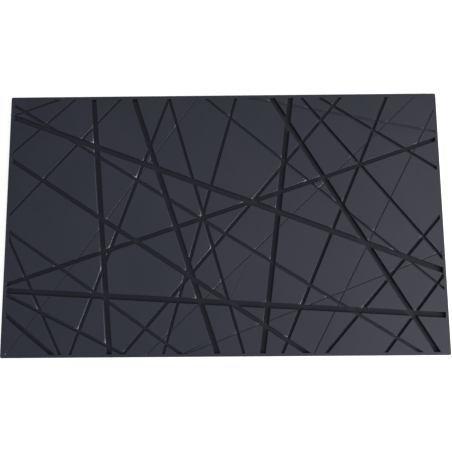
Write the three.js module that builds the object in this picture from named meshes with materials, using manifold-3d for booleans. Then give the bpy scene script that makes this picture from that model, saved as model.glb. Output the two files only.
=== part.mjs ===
import * as THREE from "three";
import { mergeVertices } from "three/addons/utils/BufferGeometryUtils.js";
import Module from "manifold-3d";

// A self healing leatherwork mat: five flat plies bonded into one slab, with straight, square
// channels of several widths running across the working face. Millimetres, +Z up, the origin
// under the middle of the mat, X along its length.

// Overall
const matLength = 500;
const matWidth = 300;
const cornerRadius = 2;
const cornerSegments = 4;

// Plies, from the bench upwards
const baseThickness = 1.5; // soft healing ply on the underside
const stiffenerThickness = 0.5; // each of the two thin films around the core
const coreThickness = 1.5; // hard sheet that keeps the mat flat
const floorThickness = 1; // soft material left under the deepest channel

// Channels
const rimWidth = 3.5; // uncut border on all four sides
const cutters = {
  broad: { width: 6, depth: 4 },
  wide: { width: 4.5, depth: 4 },
  medium: { width: 3.2, depth: 2.6 },
  fine: { width: 2.4, depth: 1.7 },
  hairline: { width: 1.3, depth: 0.9 },
  skim: { width: 2.4, depth: 1 },
};

const fieldLength = matLength - 2 * rimWidth;
const fieldWidth = matWidth - 2 * rimWidth;
const deepestCut = Math.max(...Object.values(cutters).map((cutter) => cutter.depth));
const widestCut = Math.max(...Object.values(cutters).map((cutter) => cutter.width));

// Heights of the faces where the plies meet
const baseTop = baseThickness;
const lowerStiffenerTop = baseTop + stiffenerThickness;
const coreTop = lowerStiffenerTop + coreThickness;
const upperStiffenerTop = coreTop + stiffenerThickness;
const matTop = upperStiffenerTop + floorThickness + deepestCut;

// A channel's ends lie on the border of the field. Along the north and south sides they are
// counted from the west in thousandths of the side, along the west and east sides from the south.
const north = (share) => new THREE.Vector2(fieldLength * (share / 1000 - 0.5), fieldWidth / 2);
const south = (share) => new THREE.Vector2(fieldLength * (share / 1000 - 0.5), -fieldWidth / 2);
const west = (share) => new THREE.Vector2(-fieldLength / 2, fieldWidth * (share / 1000 - 0.5));
const east = (share) => new THREE.Vector2(fieldLength / 2, fieldWidth * (share / 1000 - 0.5));

const channels = [
  { cutter: cutters.broad, from: west(241), to: east(137) },
  { cutter: cutters.wide, from: west(264), to: east(823) },
  { cutter: cutters.broad, from: west(929), to: east(306) },
  { cutter: cutters.broad, from: north(190), to: south(239) },
  { cutter: cutters.broad, from: north(287), to: south(483) },
  { cutter: cutters.broad, from: north(616), to: south(977) },
  { cutter: cutters.broad, from: north(661), to: south(585) },
  { cutter: cutters.wide, from: west(753), to: south(684) },
  { cutter: cutters.wide, from: west(151), to: south(110) },
  { cutter: cutters.medium, from: north(371), to: south(542) },
  { cutter: cutters.medium, from: north(369), to: south(150) },
  { cutter: cutters.medium, from: north(530), to: south(361) },
  { cutter: cutters.medium, from: north(780), to: south(271) },
  { cutter: cutters.medium, from: north(890), to: south(629) },
  { cutter: cutters.medium, from: west(978), to: south(939) },
  { cutter: cutters.medium, from: west(470), to: south(400) },
  { cutter: cutters.medium, from: west(444), to: south(127) },
  { cutter: cutters.medium, from: west(225), to: south(271) },
  { cutter: cutters.medium, from: north(686), to: east(354) },
  { cutter: cutters.medium, from: north(729), to: east(705) },
  { cutter: cutters.medium, from: east(514), to: south(728) },
  { cutter: cutters.medium, from: east(287), to: south(861) },
  { cutter: cutters.fine, from: north(254), to: west(534) },
  { cutter: cutters.fine, from: north(145), to: west(782) },
  { cutter: cutters.fine, from: north(106), to: west(937) },
  { cutter: cutters.fine, from: north(458), to: east(236) },
  { cutter: cutters.hairline, from: east(943), to: south(700) },
  { cutter: cutters.hairline, from: north(437), to: south(6) },
  { cutter: cutters.hairline, from: north(956), to: south(324) },
  { cutter: cutters.hairline, from: south(412), to: east(378) },
  { cutter: cutters.skim, from: north(566), to: east(855) },
];

const wasm = await Module();
wasm.setup();

function solidOf(geometry) {
  geometry.deleteAttribute("normal");
  geometry.deleteAttribute("uv");
  const merged = mergeVertices(geometry);
  return new wasm.Manifold(new wasm.Mesh({
    numProp: 3,
    vertProperties: merged.attributes.position.array,
    triVerts: merged.index.array,
  }));
}

function geometryOf(solid) {
  const mesh = solid.getMesh();
  const geometry = new THREE.BufferGeometry();
  geometry.setAttribute("position", new THREE.BufferAttribute(mesh.vertProperties, 3));
  geometry.setIndex(new THREE.BufferAttribute(mesh.triVerts, 1));
  geometry.computeVertexNormals();
  return geometry;
}

function matOutline() {
  const cornerX = matLength / 2 - cornerRadius;
  const cornerY = matWidth / 2 - cornerRadius;
  const shape = new THREE.Shape();
  shape.absarc(cornerX, cornerY, cornerRadius, 0, Math.PI / 2);
  shape.absarc(-cornerX, cornerY, cornerRadius, Math.PI / 2, Math.PI);
  shape.absarc(-cornerX, -cornerY, cornerRadius, Math.PI, 1.5 * Math.PI);
  shape.absarc(cornerX, -cornerY, cornerRadius, 1.5 * Math.PI, 2 * Math.PI);
  return shape;
}

// Neighbouring plies are given the same height, so that they meet without a gap or an overlap.
function plyGeometry(bottom, top) {
  const geometry = new THREE.ExtrudeGeometry(matOutline(), {
    depth: 1,
    bevelEnabled: false,
    curveSegments: cornerSegments,
  });
  const place = geometry.attributes.position;
  for (let i = 0; i < place.count; i += 1) {
    place.setZ(i, place.getZ(i) > 0.5 ? top : bottom);
  }
  return geometry;
}

// A block as wide as the channel, from its floor to above the face, and past both of its ends.
function channelBlock({ cutter, from, to }) {
  const along = to.clone().sub(from);
  const height = 2 * cutter.depth;
  const block = new THREE.BoxGeometry(along.length() + 4 * widestCut, cutter.width, height);
  block.rotateZ(along.angle());
  const middle = from.clone().add(to).multiplyScalar(0.5);
  block.translate(middle.x, middle.y, matTop);
  return solidOf(block);
}

// All channels stop square at the rim.
function channelledPly(bottom, top) {
  const field = solidOf(new THREE.BoxGeometry(fieldLength, fieldWidth, 2 * (top - bottom))
    .translate(0, 0, top));
  const blocks = channels.map(channelBlock);
  const cut = blocks.reduce((sum, block) => sum.add(block)).intersect(field);
  return geometryOf(solidOf(plyGeometry(bottom, top)).subtract(cut));
}

function piece(name, geometry, color, roughness) {
  const material = new THREE.MeshStandardMaterial({ color, roughness, metalness: 0 });
  const mesh = new THREE.Mesh(geometry, material);
  mesh.name = name;
  return mesh;
}

const mat = new THREE.Group();
mat.add(
  piece("base_healing_ply", plyGeometry(0, baseTop), 0x33343c, 0.6),
  piece("lower_stiffener_film", plyGeometry(baseTop, lowerStiffenerTop), 0x8e9096, 0.45),
  piece("core_sheet", plyGeometry(lowerStiffenerTop, coreTop), 0x1d1d20, 0.5),
  piece("upper_stiffener_film", plyGeometry(coreTop, upperStiffenerTop), 0x8e9096, 0.45),
  piece("channelled_healing_ply", channelledPly(upperStiffenerTop, matTop), 0x3b3c44, 0.55),
);

export default mat;
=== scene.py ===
import math
import random

import bmesh
import bpy
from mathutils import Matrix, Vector


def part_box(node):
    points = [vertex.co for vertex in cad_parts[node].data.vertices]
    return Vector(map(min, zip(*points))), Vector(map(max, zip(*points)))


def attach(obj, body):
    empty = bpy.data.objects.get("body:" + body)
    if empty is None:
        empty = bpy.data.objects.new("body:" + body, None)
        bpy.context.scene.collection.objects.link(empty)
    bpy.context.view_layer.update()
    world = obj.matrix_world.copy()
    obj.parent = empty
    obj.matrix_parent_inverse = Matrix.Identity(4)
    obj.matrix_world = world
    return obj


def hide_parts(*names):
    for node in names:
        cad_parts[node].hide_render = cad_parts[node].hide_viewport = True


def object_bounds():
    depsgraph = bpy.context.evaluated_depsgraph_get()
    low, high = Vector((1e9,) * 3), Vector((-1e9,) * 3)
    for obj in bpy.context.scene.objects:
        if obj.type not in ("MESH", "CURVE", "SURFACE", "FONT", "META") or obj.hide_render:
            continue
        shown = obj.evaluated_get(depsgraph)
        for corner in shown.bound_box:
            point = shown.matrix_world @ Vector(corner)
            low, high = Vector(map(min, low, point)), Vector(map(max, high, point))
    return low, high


# A thick self healing mat for leatherwork: five bonded plies, the top one crossed by straight channels.

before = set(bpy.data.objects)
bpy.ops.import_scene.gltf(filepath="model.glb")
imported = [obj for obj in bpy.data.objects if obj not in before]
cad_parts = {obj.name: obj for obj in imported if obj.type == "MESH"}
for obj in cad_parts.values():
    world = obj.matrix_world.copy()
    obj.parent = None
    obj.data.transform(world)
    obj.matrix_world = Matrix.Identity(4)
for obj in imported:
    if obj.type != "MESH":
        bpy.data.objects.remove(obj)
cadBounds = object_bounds()
print("frame loaded")


class Wire:
    # one output socket, on which sums can be written as plain expressions
    def __init__(self, bench, socket):
        self.bench = bench
        self.socket = socket

    def beside(self, name):
        # another output of the same node
        return Wire(self.bench, self.socket.node.outputs[name])

    def maths(self, operation, left, right):
        return self.bench.node("ShaderNodeMath", {"operation": operation}, {0: left, 1: right})

    def __add__(self, other):
        return self.maths("ADD", self, other)

    def __radd__(self, other):
        return self.maths("ADD", other, self)

    def __sub__(self, other):
        return self.maths("SUBTRACT", self, other)

    def __rsub__(self, other):
        return self.maths("SUBTRACT", other, self)

    def __mul__(self, other):
        return self.maths("MULTIPLY", self, other)

    def __rmul__(self, other):
        return self.maths("MULTIPLY", other, self)


class Bench:
    # builds one node tree, for a material or for geometry
    def __init__(self, tree):
        self.tree = tree
        tree.nodes.clear()

    def node(self, kind, settings=None, values=None, out=0):
        made = self.tree.nodes.new(kind)
        for name, value in (settings or {}).items():
            setattr(made, name, value)
        for name, value in (values or {}).items():
            for item in value if isinstance(value, list) else [value]:
                if isinstance(item, Wire):
                    self.tree.links.new(item.socket, made.inputs[name])
                else:
                    made.inputs[name].default_value = item
        return Wire(self, made.outputs[out]) if made.outputs else made


matHigh = Vector(cadBounds[1])
matTop = matHigh.z

matPlan = {
    "cornerRadius": 0.002,
    "cornerSteps": 6,
    "rimWidth": 0.0035,  # uncut land between the channels and the mat's edge
}

plyEase = {
    "seam": 0.00010,  # where two plies meet at the side
    "foot": 0.00040,  # along the bottom edge
    "steps": 3,
}


def outlinePoints(inset):
    # the mat's outline drawn in by inset, anticlockwise, with rounded corners
    steps = matPlan["cornerSteps"]
    halfX = matHigh.x - inset
    halfY = matHigh.y - inset
    bend = max(matPlan["cornerRadius"] - inset, 0.0)
    points = []
    for turn, (signX, signY) in enumerate(((1, 1), (-1, 1), (-1, -1), (1, -1))):
        centreX = signX * (halfX - bend)
        centreY = signY * (halfY - bend)
        for step in range(steps + 1):
            angle = (turn + step / steps) * math.pi / 2
            points.append((centreX + bend * math.cos(angle), centreY + bend * math.sin(angle)))
    return points


def loftedMesh(name, rings):
    # stacks closed rings of points, each with its own height, and caps both ends
    mesh = bpy.data.meshes.new(name)
    vertices = [(x, y, z) for ring, z in rings for x, y in ring]
    count = len(rings[0][0])
    faces = [tuple(reversed(range(count)))]
    for level in range(len(rings) - 1):
        start = level * count
        for i in range(count):
            j = (i + 1) % count
            faces.append((start + i, start + j, start + count + j, start + count + i))
    last = (len(rings) - 1) * count
    faces.append(tuple(range(last, last + count)))
    mesh.from_pydata(vertices, [], faces)
    mesh.validate()
    return mesh


def plySlab(name, low, high, bottomEase, topEase):
    # a flat ply with upright sides, whose bottom and top edges are eased by a small round
    angles = [step / plyEase["steps"] * math.pi / 2 for step in range(plyEase["steps"] + 1)]
    rings = []
    for angle in angles:
        height = low + bottomEase * (1 - math.cos(angle))
        rings.append((outlinePoints(bottomEase * (1 - math.sin(angle))), height))
    for angle in angles:
        height = high - topEase * (1 - math.sin(angle))
        rings.append((outlinePoints(topEase * (1 - math.cos(angle))), height))
    return loftedMesh(name, rings)


def keepPiece(name, mesh, material, node):
    piece = bpy.data.objects.new(name, mesh)
    bpy.context.scene.collection.objects.link(piece)
    mesh.materials.clear()
    mesh.materials.append(material)
    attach(piece, "root")
    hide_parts(node)
    return piece


def newMaterial(name):
    material = bpy.data.materials.new(name)
    material.use_nodes = True
    return material, Bench(material.node_tree)


def noiseAt(bench, place, scale, detail):
    return bench.node("ShaderNodeTexNoise", {"noise_dimensions": "3D"},
                      {"Vector": place, "Scale": scale, "Detail": detail})


def ramped(bench, value, span):
    # 0 below the span, 1 above it, smooth between
    low, high = span
    return bench.node("ShaderNodeMapRange", {"interpolation_type": "SMOOTHSTEP", "clamp": True},
                      {"Value": value, "From Min": low, "From Max": high})


def blended(bench, share, first, second):
    return bench.node("ShaderNodeMix", {"data_type": "RGBA"},
                      {"Factor": share, 6: first, 7: second}, out=2)


healingVinyl = {
    "slate": (0.0218, 0.0246, 0.0425, 1.0),
    "paleSlate": (0.0290, 0.0315, 0.0500, 1.0),
    # painted shade on the channel floors and painted light on the channel walls
    "shadedCutFloor": (0.0160, 0.0172, 0.0270, 1.0),
    "litCutWall": (0.038, 0.041, 0.058, 1.0),
    # painted highlight along the lip of every channel
    "paintedLipHighlight": (0.060, 0.064, 0.084, 1.0),
    "lint": (0.10, 0.10, 0.105, 1.0),
    # painted glint: near white on the lips of some corners
    "paintedGlint": (0.80, 0.80, 0.82, 1.0),
    "cloudScale": 16.0,
    "cloudDetail": 3.0,
    "cloudSpan": (0.35, 0.65),  # spans are where a noise starts and stops to show
    "cloudShare": 0.5,
    "patchScale": 120.0,
    "patchDetail": 3.0,
    "patchSpan": (0.3, 0.7),
    "patchShare": 0.3,
    "grainScale": 1900.0,
    "grainDetail": 1.0,
    "grainShare": 0.2,
    "lintScale": 420.0,
    "lintDetail": 0.0,
    "lintSpan": (0.82, 0.86),
    "lintAmount": 0.35,
    "lipDepth": (0.00001, 0.0002),  # below the face, from where the lip, with its painted highlight, starts to where it is full
    "lipHighlightShare": 0.7,
    "cutDepth": (0.0005, 0.0012),  # the same for the inside of a channel
    "floorTilt": (0.3, 0.8),  # how level a cut surface is, from wall to floor
    "faceRoughness": 0.50,
    "grainRoughness": 0.16,
    "patchRoughness": 0.05,
    "lipRoughness": 0.20,
    "cutRoughness": 0.75,
    "gloss": 0.40,
    "grainRelief": 0.6,
    "patchRelief": 0.4,
    "reliefStrength": 0.35,
    "reliefHeight": 0.00008,
}


def makeHealingVinyl():
    look = healingVinyl
    material, bench = newMaterial("healingVinyl")
    place = bench.node("ShaderNodeTexCoord", out=3)
    height = bench.node("ShaderNodeSeparateXYZ", None, {"Vector": place}, out=2)
    clouds = noiseAt(bench, place, look["cloudScale"], look["cloudDetail"])
    clouds = ramped(bench, clouds, look["cloudSpan"])
    patches = noiseAt(bench, place, look["patchScale"], look["patchDetail"])
    patches = ramped(bench, patches, look["patchSpan"])
    grain = noiseAt(bench, place, look["grainScale"], look["grainDetail"])
    lint = noiseAt(bench, place, look["lintScale"], look["lintDetail"])
    lint = ramped(bench, lint, look["lintSpan"])

    # the face is slate in soft clouds, with a little lint
    shade = clouds * look["cloudShare"] + patches * look["patchShare"] + grain * look["grainShare"]
    land = blended(bench, shade, look["slate"], look["paleSlate"])
    land = blended(bench, lint * look["lintAmount"], land, look["lint"])

    # inside a channel the floor is painted darker as shade and the walls paler as light, the lip gets a
    # painted highlight, and some corners a painted glint
    depth = matTop - height
    inside = ramped(bench, depth, look["cutDepth"])
    lip = ramped(bench, depth, look["lipDepth"]) * (1.0 - inside)
    # painted shade and light: channel walls are paler than the face, channel floors darker
    level = bench.node("ShaderNodeSeparateXYZ", None, {"Vector": place.beside("Normal")}, out=2)
    cut = blended(bench, ramped(bench, level, look["floorTilt"]), look["litCutWall"], look["shadedCutFloor"])
    colour = blended(bench, inside, land, cut)
    # painted highlight: the lips are paler than the face
    colour = blended(bench, lip * look["lipHighlightShare"], colour, look["paintedLipHighlight"])
    # painted glint: near white colour on the lips of the marked corners
    torn = bench.node("ShaderNodeAttribute", {"attribute_name": "torn"}, out=2)
    colour = blended(bench, torn * lip, colour, look["paintedGlint"])

    mottle = (grain - 0.5) * look["grainRoughness"]
    face = look["faceRoughness"] + mottle + patches * look["patchRoughness"]
    roughness = face + lip * (look["lipRoughness"] - face) + inside * (look["cutRoughness"] - face)
    relief = grain * look["grainRelief"] + patches * look["patchRelief"]
    bump = bench.node("ShaderNodeBump", None, {
        "Strength": look["reliefStrength"], "Distance": look["reliefHeight"], "Height": relief,
    })
    surface = bench.node("ShaderNodeBsdfPrincipled", None, {
        "Base Color": colour, "Roughness": roughness, "Normal": bump,
        "Specular IOR Level": look["gloss"],
    })
    bench.node("ShaderNodeOutputMaterial", None, {"Surface": surface})
    return material


stiffenerFilm = {
    "pale": (0.30, 0.31, 0.33, 1.0),
    "dull": (0.20, 0.205, 0.22, 1.0),
    "streakScale": (900.0, 900.0, 60.0),
    "patchScale": 90.0,
    "detail": 2.0,
    "streakShare": 0.6,
    "shadeSpan": (0.35, 0.65),
    "roughness": 0.42,
    "streakRoughness": 0.15,
    "reliefStrength": 0.3,
    "reliefHeight": 0.00005,
}


def makeStiffenerFilm():
    look = stiffenerFilm
    material, bench = newMaterial("stiffenerFilm")
    place = bench.node("ShaderNodeTexCoord", out=3)
    stretched = bench.node("ShaderNodeMapping", None, {"Vector": place, "Scale": look["streakScale"]})
    streaks = noiseAt(bench, stretched, 1.0, look["detail"])
    patches = noiseAt(bench, place, look["patchScale"], look["detail"])
    shade = streaks * look["streakShare"] + patches * (1 - look["streakShare"])
    colour = blended(bench, ramped(bench, shade, look["shadeSpan"]), look["dull"], look["pale"])
    roughness = look["roughness"] + streaks * look["streakRoughness"]
    bump = bench.node("ShaderNodeBump", None, {
        "Strength": look["reliefStrength"], "Distance": look["reliefHeight"], "Height": streaks,
    })
    surface = bench.node("ShaderNodeBsdfPrincipled", None, {
        "Base Color": colour, "Roughness": roughness, "Normal": bump,
    })
    bench.node("ShaderNodeOutputMaterial", None, {"Surface": surface})
    return material


coreBoard = {
    "black": (0.010, 0.010, 0.012, 1.0),
    "scuffed": (0.028, 0.028, 0.031, 1.0),
    "streakScale": (1200.0, 1200.0, 80.0),
    "streakDetail": 2.0,
    "fibreScale": 1500.0,
    "fibreDetail": 1.0,
    "streakShare": 0.5,
    "shadeSpan": (0.4, 0.65),
    "roughness": 0.5,
    "fibreRoughness": 0.2,
    "streakRelief": 0.7,
    "fibreRelief": 0.3,
    "reliefStrength": 0.4,
    "reliefHeight": 0.00006,
}


def makeCoreBoard():
    look = coreBoard
    material, bench = newMaterial("coreBoard")
    place = bench.node("ShaderNodeTexCoord", out=3)
    stretched = bench.node("ShaderNodeMapping", None, {"Vector": place, "Scale": look["streakScale"]})
    streaks = noiseAt(bench, stretched, 1.0, look["streakDetail"])
    fibres = noiseAt(bench, place, look["fibreScale"], look["fibreDetail"])
    shade = streaks * look["streakShare"] + fibres * (1 - look["streakShare"])
    colour = blended(bench, ramped(bench, shade, look["shadeSpan"]), look["black"], look["scuffed"])
    roughness = look["roughness"] + fibres * look["fibreRoughness"]
    relief = streaks * look["streakRelief"] + fibres * look["fibreRelief"]
    bump = bench.node("ShaderNodeBump", None, {
        "Strength": look["reliefStrength"], "Distance": look["reliefHeight"], "Height": relief,
    })
    surface = bench.node("ShaderNodeBsdfPrincipled", None, {
        "Base Color": colour, "Roughness": roughness, "Normal": bump,
    })
    bench.node("ShaderNodeOutputMaterial", None, {"Surface": surface})
    return material


vinyl = makeHealingVinyl()
film = makeStiffenerFilm()
board = makeCoreBoard()
print("materials made")


# Each run goes from a place on one side of the field to a place on another. Places are counted from
# the west on the north and south sides, and from the south on the west and east sides.
channelCuts = {
    "kinds": {  # width and depth
        "broad": (0.0060, 0.0040),
        "wide": (0.0045, 0.0040),
        "medium": (0.0032, 0.0026),
        "fine": (0.0024, 0.0017),
        "hairline": (0.0013, 0.0009),
        "skim": (0.0024, 0.0010),
    },
    "runs": (
        ("broad", "west", 241, "east", 137),
        ("wide", "west", 264, "east", 823),
        ("broad", "west", 929, "east", 306),
        ("broad", "north", 190, "south", 239),
        ("broad", "north", 287, "south", 483),
        ("broad", "north", 616, "south", 977),
        ("broad", "north", 661, "south", 585),
        ("wide", "west", 753, "south", 684),
        ("wide", "west", 151, "south", 110),
        ("medium", "north", 371, "south", 542),
        ("medium", "north", 369, "south", 150),
        ("medium", "north", 530, "south", 361),
        ("medium", "north", 780, "south", 271),
        ("medium", "north", 890, "south", 629),
        ("medium", "west", 978, "south", 939),
        ("medium", "west", 470, "south", 400),
        ("medium", "west", 444, "south", 127),
        ("medium", "west", 225, "south", 271),
        ("medium", "north", 686, "east", 354),
        ("medium", "north", 729, "east", 705),
        ("medium", "east", 514, "south", 728),
        ("medium", "east", 287, "south", 861),
        ("fine", "north", 254, "west", 534),
        ("fine", "north", 145, "west", 782),
        ("fine", "north", 106, "west", 937),
        ("fine", "north", 458, "east", 236),
        ("hairline", "east", 943, "south", 700),
        ("hairline", "north", 437, "south", 6),
        ("hairline", "north", 956, "south", 324),
        ("hairline", "south", 412, "east", 378),
        ("skim", "north", 566, "east", 855),
    ),
    "sideParts": 1000,  # places on a side of the field
    "lip": 0.0008,  # round at the mouth of a channel and along the mat's top edge
    "corner": 0.0010,  # round on the upright edges, where two channels meet
    "fullRound": 0.0014,  # no lip or corner is rounder than this
    "lipShare": 0.45,  # no lip takes more than this much of its wall's height
    "landShare": 0.7,  # nor more than this much of the room on its land
    "cornerShare": 0.3,  # no corner takes more than this much of the sides beside it
    "lipSteps": 3,
    "crumb": 0.0004,  # a side of a land shorter than this closes up
    "smallestLand": 10,  # in crumbs squared, under which a land is left as it is
    "clearance": 0.001,  # how far the cutters stand above the face and past their ends
    "hair": 0.00001,  # lengths under this count as nothing
    "flatAngle": 0.5,  # degrees, under which two faces are joined
    "sharpAngle": 20,  # degrees, over which an edge is rounded
    "faceUp": 0.9,  # a face whose normal rises more than this looks up
}

fieldHalfX = matHigh.x - matPlan["rimWidth"]
fieldHalfY = matHigh.y - matPlan["rimWidth"]


def borderPoint(side, share):
    along = share / (channelCuts["sideParts"] / 2) - 1
    if side in ("north", "south"):
        return along * fieldHalfX, fieldHalfY if side == "north" else -fieldHalfY, 0.0
    return fieldHalfX if side == "east" else -fieldHalfX, along * fieldHalfY, 0.0


def channelLines():
    # one edge for each channel, which carries the channel's width and depth
    vertices, edges, widths, depths = [], [], [], []
    for kind, fromSide, fromShare, toSide, toShare in channelCuts["runs"]:
        edges.append((len(vertices), len(vertices) + 1))
        vertices.append(borderPoint(fromSide, fromShare))
        vertices.append(borderPoint(toSide, toShare))
        width, depth = channelCuts["kinds"][kind]
        widths.append(width)
        depths.append(depth)
    mesh = bpy.data.meshes.new("channelLines")
    mesh.from_pydata(vertices, edges, [])
    mesh.attributes.new("cutWidth", "FLOAT", "EDGE").data.foreach_set("value", widths)
    mesh.attributes.new("cutDepth", "FLOAT", "EDGE").data.foreach_set("value", depths)
    return bpy.data.objects.new("channelLines", mesh)


def cutterForm():
    # a block one unit long and two wide, whose floor and roof are told apart by an attribute
    section = [(1.0, 0.0), (1.0, 1.0), (-1.0, 1.0), (-1.0, 0.0)]
    count = len(section)
    vertices = [(end, side, 0.0) for end in (-0.5, 0.5) for side, _ in section]
    faces = [(i, (i + 1) % count, (i + 1) % count + count, i + count) for i in range(count)]
    faces += [tuple(reversed(range(count))), tuple(range(count, 2 * count))]
    mesh = bpy.data.meshes.new("cutterForm")
    mesh.from_pydata(vertices, [], faces)
    floors = [atFloor for _, atFloor in section] * 2
    mesh.attributes.new("atFloor", "FLOAT", "POINT").data.foreach_set("value", floors)
    return bpy.data.objects.new("cutterForm", mesh)


def fieldForm(low):
    # what the channels may cut: everything inside the rim, above the ply's underside
    x, y = fieldHalfX, fieldHalfY
    outline = [(x, y), (-x, y), (-x, -y), (x, -y)]
    roof = matTop + channelCuts["clearance"] / 2
    return bpy.data.objects.new("fieldForm", loftedMesh("fieldForm", [(outline, low), (outline, roof)]))


def channelTree():
    tree = bpy.data.node_groups.new("cutChannels", "GeometryNodeTree")
    bench = Bench(tree)
    face = tree.interface
    face.new_socket(name="Geometry", in_out="INPUT", socket_type="NodeSocketGeometry")
    for name in ("Channel Lines", "Cutter Form", "Field Form"):
        face.new_socket(name=name, in_out="INPUT", socket_type="NodeSocketObject")
    for name in ("Face Height", "Clearance", "Overrun"):
        face.new_socket(name=name, in_out="INPUT", socket_type="NodeSocketFloat")
    face.new_socket(name="Vinyl", in_out="INPUT", socket_type="NodeSocketMaterial")
    face.new_socket(name="Geometry", in_out="OUTPUT", socket_type="NodeSocketGeometry")
    entry = bench.node("NodeGroupInput")
    given = {item.name: entry.beside(item.name) for item in face.items_tree if item.in_out == "INPUT"}

    def formOf(name):
        return bench.node("GeometryNodeObjectInfo", {"transform_space": "ORIGINAL"},
                          {"Object": given[name]}, out="Geometry")

    def attribute(name, kind="FLOAT"):
        return bench.node("GeometryNodeInputNamedAttribute", {"data_type": kind}, {"Name": name})

    def store(geometry, name, value, domain="POINT", kind="FLOAT"):
        return bench.node("GeometryNodeStoreNamedAttribute", {"data_type": kind, "domain": domain},
                          {"Geometry": geometry, "Name": name, "Value": value})

    def vectorMaths(operation, *values):
        return bench.node("ShaderNodeVectorMath", {"operation": operation}, dict(enumerate(values)))

    # each line gives a point at its middle, which knows the line's direction and length
    lines = formOf("Channel Lines")
    first = bench.node("GeometryNodeInputMeshEdgeVertices", out="Position 1")
    span = vectorMaths("SUBTRACT", first.beside("Position 2"), first)
    length = bench.node("ShaderNodeVectorMath", {"operation": "LENGTH"}, {0: span}, out=1)
    lines = store(lines, "along", vectorMaths("NORMALIZE", span), "EDGE", "FLOAT_VECTOR")
    lines = store(lines, "lineLength", length + given["Overrun"] * 2.0, "EDGE")
    middles = bench.node("GeometryNodeMeshToPoints", {"mode": "EDGES"}, {"Mesh": lines})
    middles = store(middles, "middle", bench.node("GeometryNodeInputPosition"), "POINT", "FLOAT_VECTOR")

    # one cutter on each point, drawn out to that channel's length, width and depth
    cutters = bench.node("GeometryNodeInstanceOnPoints", None,
                         {"Points": middles, "Instance": formOf("Cutter Form")})
    cutters = bench.node("GeometryNodeRealizeInstances", None, {"Geometry": cutters})
    position = bench.node("GeometryNodeInputPosition")
    middle = attribute("middle", "FLOAT_VECTOR")
    local = bench.node("ShaderNodeSeparateXYZ", None, {0: vectorMaths("SUBTRACT", position, middle)})
    end, side = local, local.beside("Y")
    along = attribute("along", "FLOAT_VECTOR")
    upward = bench.node("ShaderNodeCombineXYZ", None, {2: 1.0})
    across = vectorMaths("CROSS_PRODUCT", upward, along)
    forward = bench.node("ShaderNodeVectorMath", {"operation": "SCALE"},
                         {0: along, "Scale": end * attribute("lineLength")})
    sideways = bench.node("ShaderNodeVectorMath", {"operation": "SCALE"},
                          {0: across, "Scale": side * attribute("cutWidth") * 0.5})
    drop = attribute("atFloor") * (attribute("cutDepth") + given["Clearance"])
    height = given["Face Height"] + given["Clearance"] - drop
    lift = bench.node("ShaderNodeCombineXYZ", None, {2: height})
    placed = vectorMaths("ADD", vectorMaths("ADD", middle, forward), vectorMaths("ADD", sideways, lift))
    cutters = bench.node("GeometryNodeSetPosition", None, {"Geometry": cutters, "Position": placed})

    # the cutters stop at the rim, and are then taken out of the ply
    trimmed = bench.node("GeometryNodeMeshBoolean", {"operation": "INTERSECT", "solver": "EXACT"},
                         {"Mesh 2": [cutters, formOf("Field Form")], "Self Intersection": True})
    cut = bench.node("GeometryNodeMeshBoolean", {"operation": "DIFFERENCE", "solver": "EXACT"},
                     {"Mesh 1": given["Geometry"], "Mesh 2": trimmed, "Self Intersection": True})
    whole = bench.node("GeometryNodeRealizeInstances", None, {"Geometry": cut})
    finished = bench.node("GeometryNodeSetMaterial", None,
                          {"Geometry": whole, "Material": given["Vinyl"]})
    bench.node("NodeGroupOutput", None, {"Geometry": finished})
    return tree


def applyTree(holder, tree, inputs):
    # runs the tree on an object and gives back the plain mesh that comes out
    modifier = holder.modifiers.new("cut", "NODES")
    modifier.node_group = tree
    for item in tree.interface.items_tree:
        if item.in_out == "INPUT" and item.name in inputs:
            modifier[item.identifier] = inputs[item.name]
    graph = bpy.context.evaluated_depsgraph_get()
    mesh = bpy.data.meshes.new_from_object(holder.evaluated_get(graph))
    holder.modifiers.remove(modifier)
    return mesh


def landsOf(bm, faceHeight):
    # the top face is cut up into lands, one face each
    level = faceHeight - channelCuts["hair"]
    upward = [face for face in bm.faces if face.normal.z > channelCuts["faceUp"]]
    return [face for face in upward if face.calc_center_median().z > level]


def mendOutline(bm, faceHeight):
    # flat neighbours are joined, and a side of a land that is shorter than a crumb closes up
    crumb, hair = channelCuts["crumb"], channelCuts["hair"]
    smallest = crumb * crumb * channelCuts["smallestLand"]
    flat = math.radians(channelCuts["flatAngle"])
    bmesh.ops.dissolve_limit(bm, angle_limit=flat, verts=bm.verts, edges=bm.edges)
    for land in landsOf(bm, faceHeight):
        if land.calc_area() < smallest:
            continue
        for edge in land.edges:
            start, end = (vertex.co.xy for vertex in edge.verts)
            if (start - end).length > crumb:
                continue
            for vertex in bm.verts:
                if (vertex.co.xy - end).length < hair:
                    vertex.co.xy = start
    bmesh.ops.remove_doubles(bm, verts=bm.verts, dist=hair / 10)
    bmesh.ops.dissolve_degenerate(bm, dist=hair / 10, edges=bm.edges)
    bmesh.ops.dissolve_limit(bm, angle_limit=flat, verts=bm.verts, edges=bm.edges)
    bm.normal_update()


def halfAngles(land):
    # half the inside angle at each corner of a land, in the order of its loops
    corners = [loop.vert.co.xy for loop in land.loops]
    halves = []
    for i in range(len(corners)):
        before, here, after = corners[i - 1], corners[i], corners[(i + 1) % len(corners)]
        halves.append((math.pi + (here - before).angle_signed(after - here)) / 2)
    return halves


def roomOnLand(land):
    # how far the outline can be drawn in before its shortest side closes up
    halves = halfAngles(land)
    room = 1.0  # a metre, which is more than any land has
    for i, loop in enumerate(land.loops):
        closing = 1 / math.tan(halves[i]) + 1 / math.tan(halves[(i + 1) % len(halves)])
        if closing > 0:
            room = min(room, loop.edge.calc_length() / closing)
    return room


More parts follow.
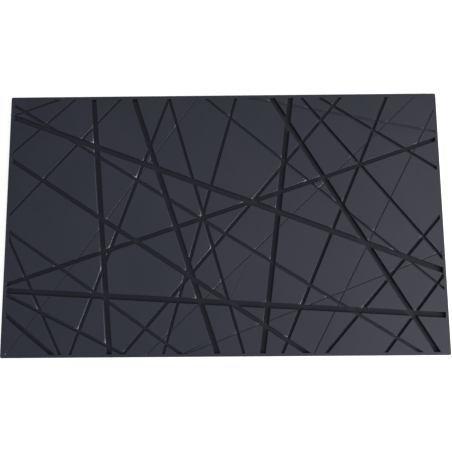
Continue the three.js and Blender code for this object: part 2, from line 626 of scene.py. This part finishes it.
def weighLips(bm, faceHeight):
    # each lip and corner gets the share of the full round that fits its land and its wall
    cuts = channelCuts
    weights = bm.edges.layers.float.new("bevel_weight_edge")
    full = cuts["fullRound"]
    sharp = math.radians(cuts["sharpAngle"])
    lips = {}
    for land in landsOf(bm, faceHeight):
        room = roomOnLand(land) * cuts["landShare"]
        for edge in land.edges:
            if edge.calc_face_angle_signed(0) < sharp:
                continue
            wall = next(face for face in edge.link_faces if face is not land)
            drops = [faceHeight - v.co.z for v in wall.verts if faceHeight - v.co.z > cuts["hair"]]
            lips[edge] = min(cuts["lip"], room, min(drops) * cuts["lipShare"])
            edge[weights] = lips[edge] / full
    for edge in bm.edges:
        top = max(edge.verts, key=lambda vertex: vertex.co.z)
        upright = abs(edge.verts[0].co.z - edge.verts[1].co.z) > cuts["hair"]
        around = [side for side in top.link_edges if side in lips]
        if not upright or len(around) < 2 or edge.calc_face_angle_signed(0) < sharp:
            continue
        room = min(side.calc_length() for side in around) * cuts["cornerShare"]
        smallest = min(lips[side] for side in around)
        edge[weights] = min(cuts["corner"], room, smallest * cuts["corner"] / cuts["lip"]) / full
    return lips


# painted glints: which corners get pale colour that stands in for the glint of the south east lamp
cornerGlints = {
    "seed": 11,
    "towardLamp": (1.0, -1.0),
    "facing": 0.7,  # how squarely a corner must face the south east lamp to get a painted glint
    "bluntest": 1.4,  # radians, half of the widest corner that can get a painted glint
    "rarity": 1.3,  # more makes strong painted glints rarer
    "reach": 0.0036,  # how far a painted glint fades out along the lips
    "fill": 0.9,  # no more of a side than this is taken up by the glints at its ends
    "spread": 0.4,  # how much wider the lips are where a glint is painted
}


def paintGlintCorners(bm, faceHeight, lips):
    # corners that face the south east lamp get a painted glint, pale on their lips, strongest at the
    # corner and fading along the lips; the lips there are also rounded wider
    glints = cornerGlints
    torn = bm.verts.layers.float.new("torn")
    chance = random.Random(glints["seed"])
    towardLamp = Vector(glints["towardLamp"]).normalized()
    weights = bm.edges.layers.float["bevel_weight_edge"]
    growth = channelCuts["fullRound"] / channelCuts["lip"]
    spans = {}
    for land in landsOf(bm, faceHeight):
        for loop, half in zip(land.loops, halfAngles(land)):
            corner = loop.vert
            sides = (loop.link_loop_prev.edge, loop.edge)
            before, after = ((corner.co - side.other_vert(corner).co).xy.normalized() for side in sides)
            strength = chance.random() ** glints["rarity"]
            facing = (before + after).normalized().dot(towardLamp)
            if half < glints["bluntest"] and facing > glints["facing"]:
                corner[torn] = strength
            for side in sides:
                if side in lips:
                    span = max(lips[side] * growth / math.tan(half), 0.0) + glints["reach"]
                    spans.setdefault(side, {})[corner] = span
    for side, ends in spans.items():
        if sum(ends.values()) > side.calc_length() * glints["fill"]:
            continue
        for corner, span in ends.items():
            part, vertex = bmesh.utils.edge_split(side, corner, span / side.calc_length())
            part[weights] = side[weights] * (1 + glints["spread"] * corner[torn])
            vertex[torn] = 0.0


def roundLips(piece):
    # the bevel rounds the edges, and the flat faces keep flat shading
    bevel = piece.modifiers.new("lips", "BEVEL")
    bevel.limit_method = "WEIGHT"
    bevel.width = channelCuts["fullRound"]
    bevel.segments = channelCuts["lipSteps"]
    bevel.use_clamp_overlap = False
    shading = piece.modifiers.new("shading", "WEIGHTED_NORMAL")
    shading.keep_sharp = True
    shading.weight = 100  # the largest face at a corner decides its shading
    graph = bpy.context.evaluated_depsgraph_get()
    mesh = bpy.data.meshes.new_from_object(piece.evaluated_get(graph))
    piece.modifiers.clear()
    return mesh


# these guide the cutting and the bevel, and are taken off the finished mesh
workAttributes = (
    "cutWidth", "cutDepth", "along", "lineLength", "middle", "atFloor", "bevel_weight_edge",
)


def makeChannelledPly():
    cuts = channelCuts
    low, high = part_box("channelled_healing_ply")
    slab = plySlab("channelledPlyBlank", low.z, high.z, plyEase["seam"], 0.0)
    holder = bpy.data.objects.new("channelledPlyBlank", slab)
    forms = [channelLines(), cutterForm(), fieldForm(low.z + cuts["clearance"] / 2)]
    for form in [holder] + forms:
        bpy.context.scene.collection.objects.link(form)
    holder.data = applyTree(holder, channelTree(), {
        "Channel Lines": forms[0],
        "Cutter Form": forms[1],
        "Field Form": forms[2],
        "Face Height": high.z,
        "Clearance": cuts["clearance"],
        "Overrun": 2 * max(width for width, _ in cuts["kinds"].values()),
        "Vinyl": vinyl,
    })
    bm = bmesh.new()
    bm.from_mesh(holder.data)
    mendOutline(bm, high.z)
    paintGlintCorners(bm, high.z, weighLips(bm, high.z))
    for face in bm.faces:
        face.smooth = True
    for edge in bm.edges:
        edge.smooth = edge.calc_face_angle(0) < math.radians(cuts["sharpAngle"])
    bm.to_mesh(holder.data)
    bm.free()
    mesh = roundLips(holder)
    mesh.name = "channelledHealingPly"
    for name in workAttributes:
        if name in mesh.attributes:
            mesh.attributes.remove(mesh.attributes[name])
    for form in [holder] + forms:
        bpy.data.objects.remove(form)
    return keepPiece("channelledHealingPly", mesh, vinyl, "channelled_healing_ply")


channelledPly = makeChannelledPly()
print("channels cut:", len(channelledPly.data.polygons), "faces")


def makePlainPly(name, node, material, bottomEase):
    low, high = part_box(node)
    mesh = plySlab(name, low.z, high.z, bottomEase, plyEase["seam"])
    return keepPiece(name, mesh, material, node)


makePlainPly("upperStiffenerFilm", "upper_stiffener_film", film, plyEase["seam"])
makePlainPly("coreSheet", "core_sheet", board, plyEase["seam"])
makePlainPly("lowerStiffenerFilm", "lower_stiffener_film", film, plyEase["seam"])
makePlainPly("baseHealingPly", "base_healing_ply", vinyl, plyEase["foot"])
print("plies made")


studio = {
    "floorSize": 12.0,
    "floorGap": 0.0001,
    "floorColour": (0.93, 0.93, 0.93, 1.0),
    "floorGlow": 0.6,  # keeps the floor white around the mat
    "floorRoughness": 0.9,
    "floorGloss": 0.1,
    "white": (1.0, 1.0, 1.0, 1.0),
    "cameraPlace": (0.0038, -0.0391, 0.4073),
    "cameraTurn": (4.93, 0.26, -0.47),  # degrees away from straight down
    "lens": 27.88,
    "sensorWidth": 36.0,
    "nearClip": 0.01,
    "skyColour": (0.97, 0.985, 1.0, 1.0),
    "horizon": 0.06,
    "zenith": 1.46,
    "crown": 7.0,  # how tightly the bright part of the sky gathers overhead
}

# soft boxes aimed at the middle of the mat: place, size, watts and colour
studioLights = {
    "eastBox": ((1.40, 0.0, 1.20), (1.6, 1.2), 11.5, (1.0, 0.985, 0.975)),
    "southeastBox": ((1.20, -0.96, 0.60), (0.7, 0.5), 12.0, (1.0, 0.99, 0.98)),
}


def makeFloor():
    # the floor is clear from below, so that the underside can be looked at
    size = studio["floorSize"] / 2
    low = -studio["floorGap"]
    mesh = bpy.data.meshes.new("floor")
    mesh.from_pydata([(-size, -size, low), (size, -size, low), (size, size, low), (-size, size, low)],
                     [], [(0, 1, 2, 3)])
    floor = bpy.data.objects.new("floor", mesh)
    bpy.context.scene.collection.objects.link(floor)
    material, bench = newMaterial("paleFloor")
    surface = bench.node("ShaderNodeBsdfPrincipled", None, {
        "Base Color": studio["floorColour"], "Roughness": studio["floorRoughness"],
        "Specular IOR Level": studio["floorGloss"], "Emission Color": studio["white"],
        "Emission Strength": studio["floorGlow"],
    })
    below = bench.node("ShaderNodeNewGeometry", out="Backfacing")
    clear = bench.node("ShaderNodeBsdfTransparent")
    surface = bench.node("ShaderNodeMixShader", None, {0: below, 1: surface, 2: clear})
    bench.node("ShaderNodeOutputMaterial", None, {"Surface": surface})
    mesh.materials.append(material)


def makeCamera():
    data = bpy.data.cameras.new("camera")
    data.lens = studio["lens"]
    data.sensor_width = studio["sensorWidth"]
    data.clip_start = studio["nearClip"]
    camera = bpy.data.objects.new("camera", data)
    camera.location = studio["cameraPlace"]
    camera.rotation_euler = [math.radians(angle) for angle in studio["cameraTurn"]]
    bpy.context.scene.collection.objects.link(camera)
    bpy.context.scene.camera = camera


def makeSky():
    # dim at the horizon and bright overhead, with a plain white backdrop for the camera
    world = bpy.data.worlds.new("studio")
    world.use_nodes = True
    bench = Bench(world.node_tree)
    direction = bench.node("ShaderNodeTexCoord")
    upward = bench.node("ShaderNodeSeparateXYZ", None, {"Vector": direction}, out=2)
    rise = bench.node("ShaderNodeMath", {"operation": "MAXIMUM"}, {0: upward, 1: 0.0})
    crown = bench.node("ShaderNodeMath", {"operation": "POWER"}, {0: rise, 1: studio["crown"]})
    strength = studio["horizon"] + crown * studio["zenith"]
    sky = bench.node("ShaderNodeBackground", None,
                     {"Color": studio["skyColour"], "Strength": strength})
    backdrop = bench.node("ShaderNodeBackground", None, {"Color": studio["white"]})
    seen = bench.node("ShaderNodeLightPath", out="Is Camera Ray")
    surface = bench.node("ShaderNodeMixShader", None, {0: seen, 1: sky, 2: backdrop})
    bench.node("ShaderNodeOutputWorld", None, {"Surface": surface})
    bpy.context.scene.world = world


def makeLight(name, place, size, power, colour):
    data = bpy.data.lights.new(name, "AREA")
    data.shape = "RECTANGLE"
    data.size, data.size_y = size
    data.energy = power
    data.color = colour
    light = bpy.data.objects.new(name, data)
    light.location = place
    toMat = Vector((0, 0, matTop)) - Vector(place)
    light.rotation_euler = toMat.to_track_quat("-Z", "Y").to_euler()
    bpy.context.scene.collection.objects.link(light)


makeFloor()
makeCamera()
makeSky()
for name, (place, size, power, colour) in studioLights.items():
    makeLight(name, place, size, power, colour)
bpy.context.scene.view_settings.view_transform = "Standard"
print("studio set")
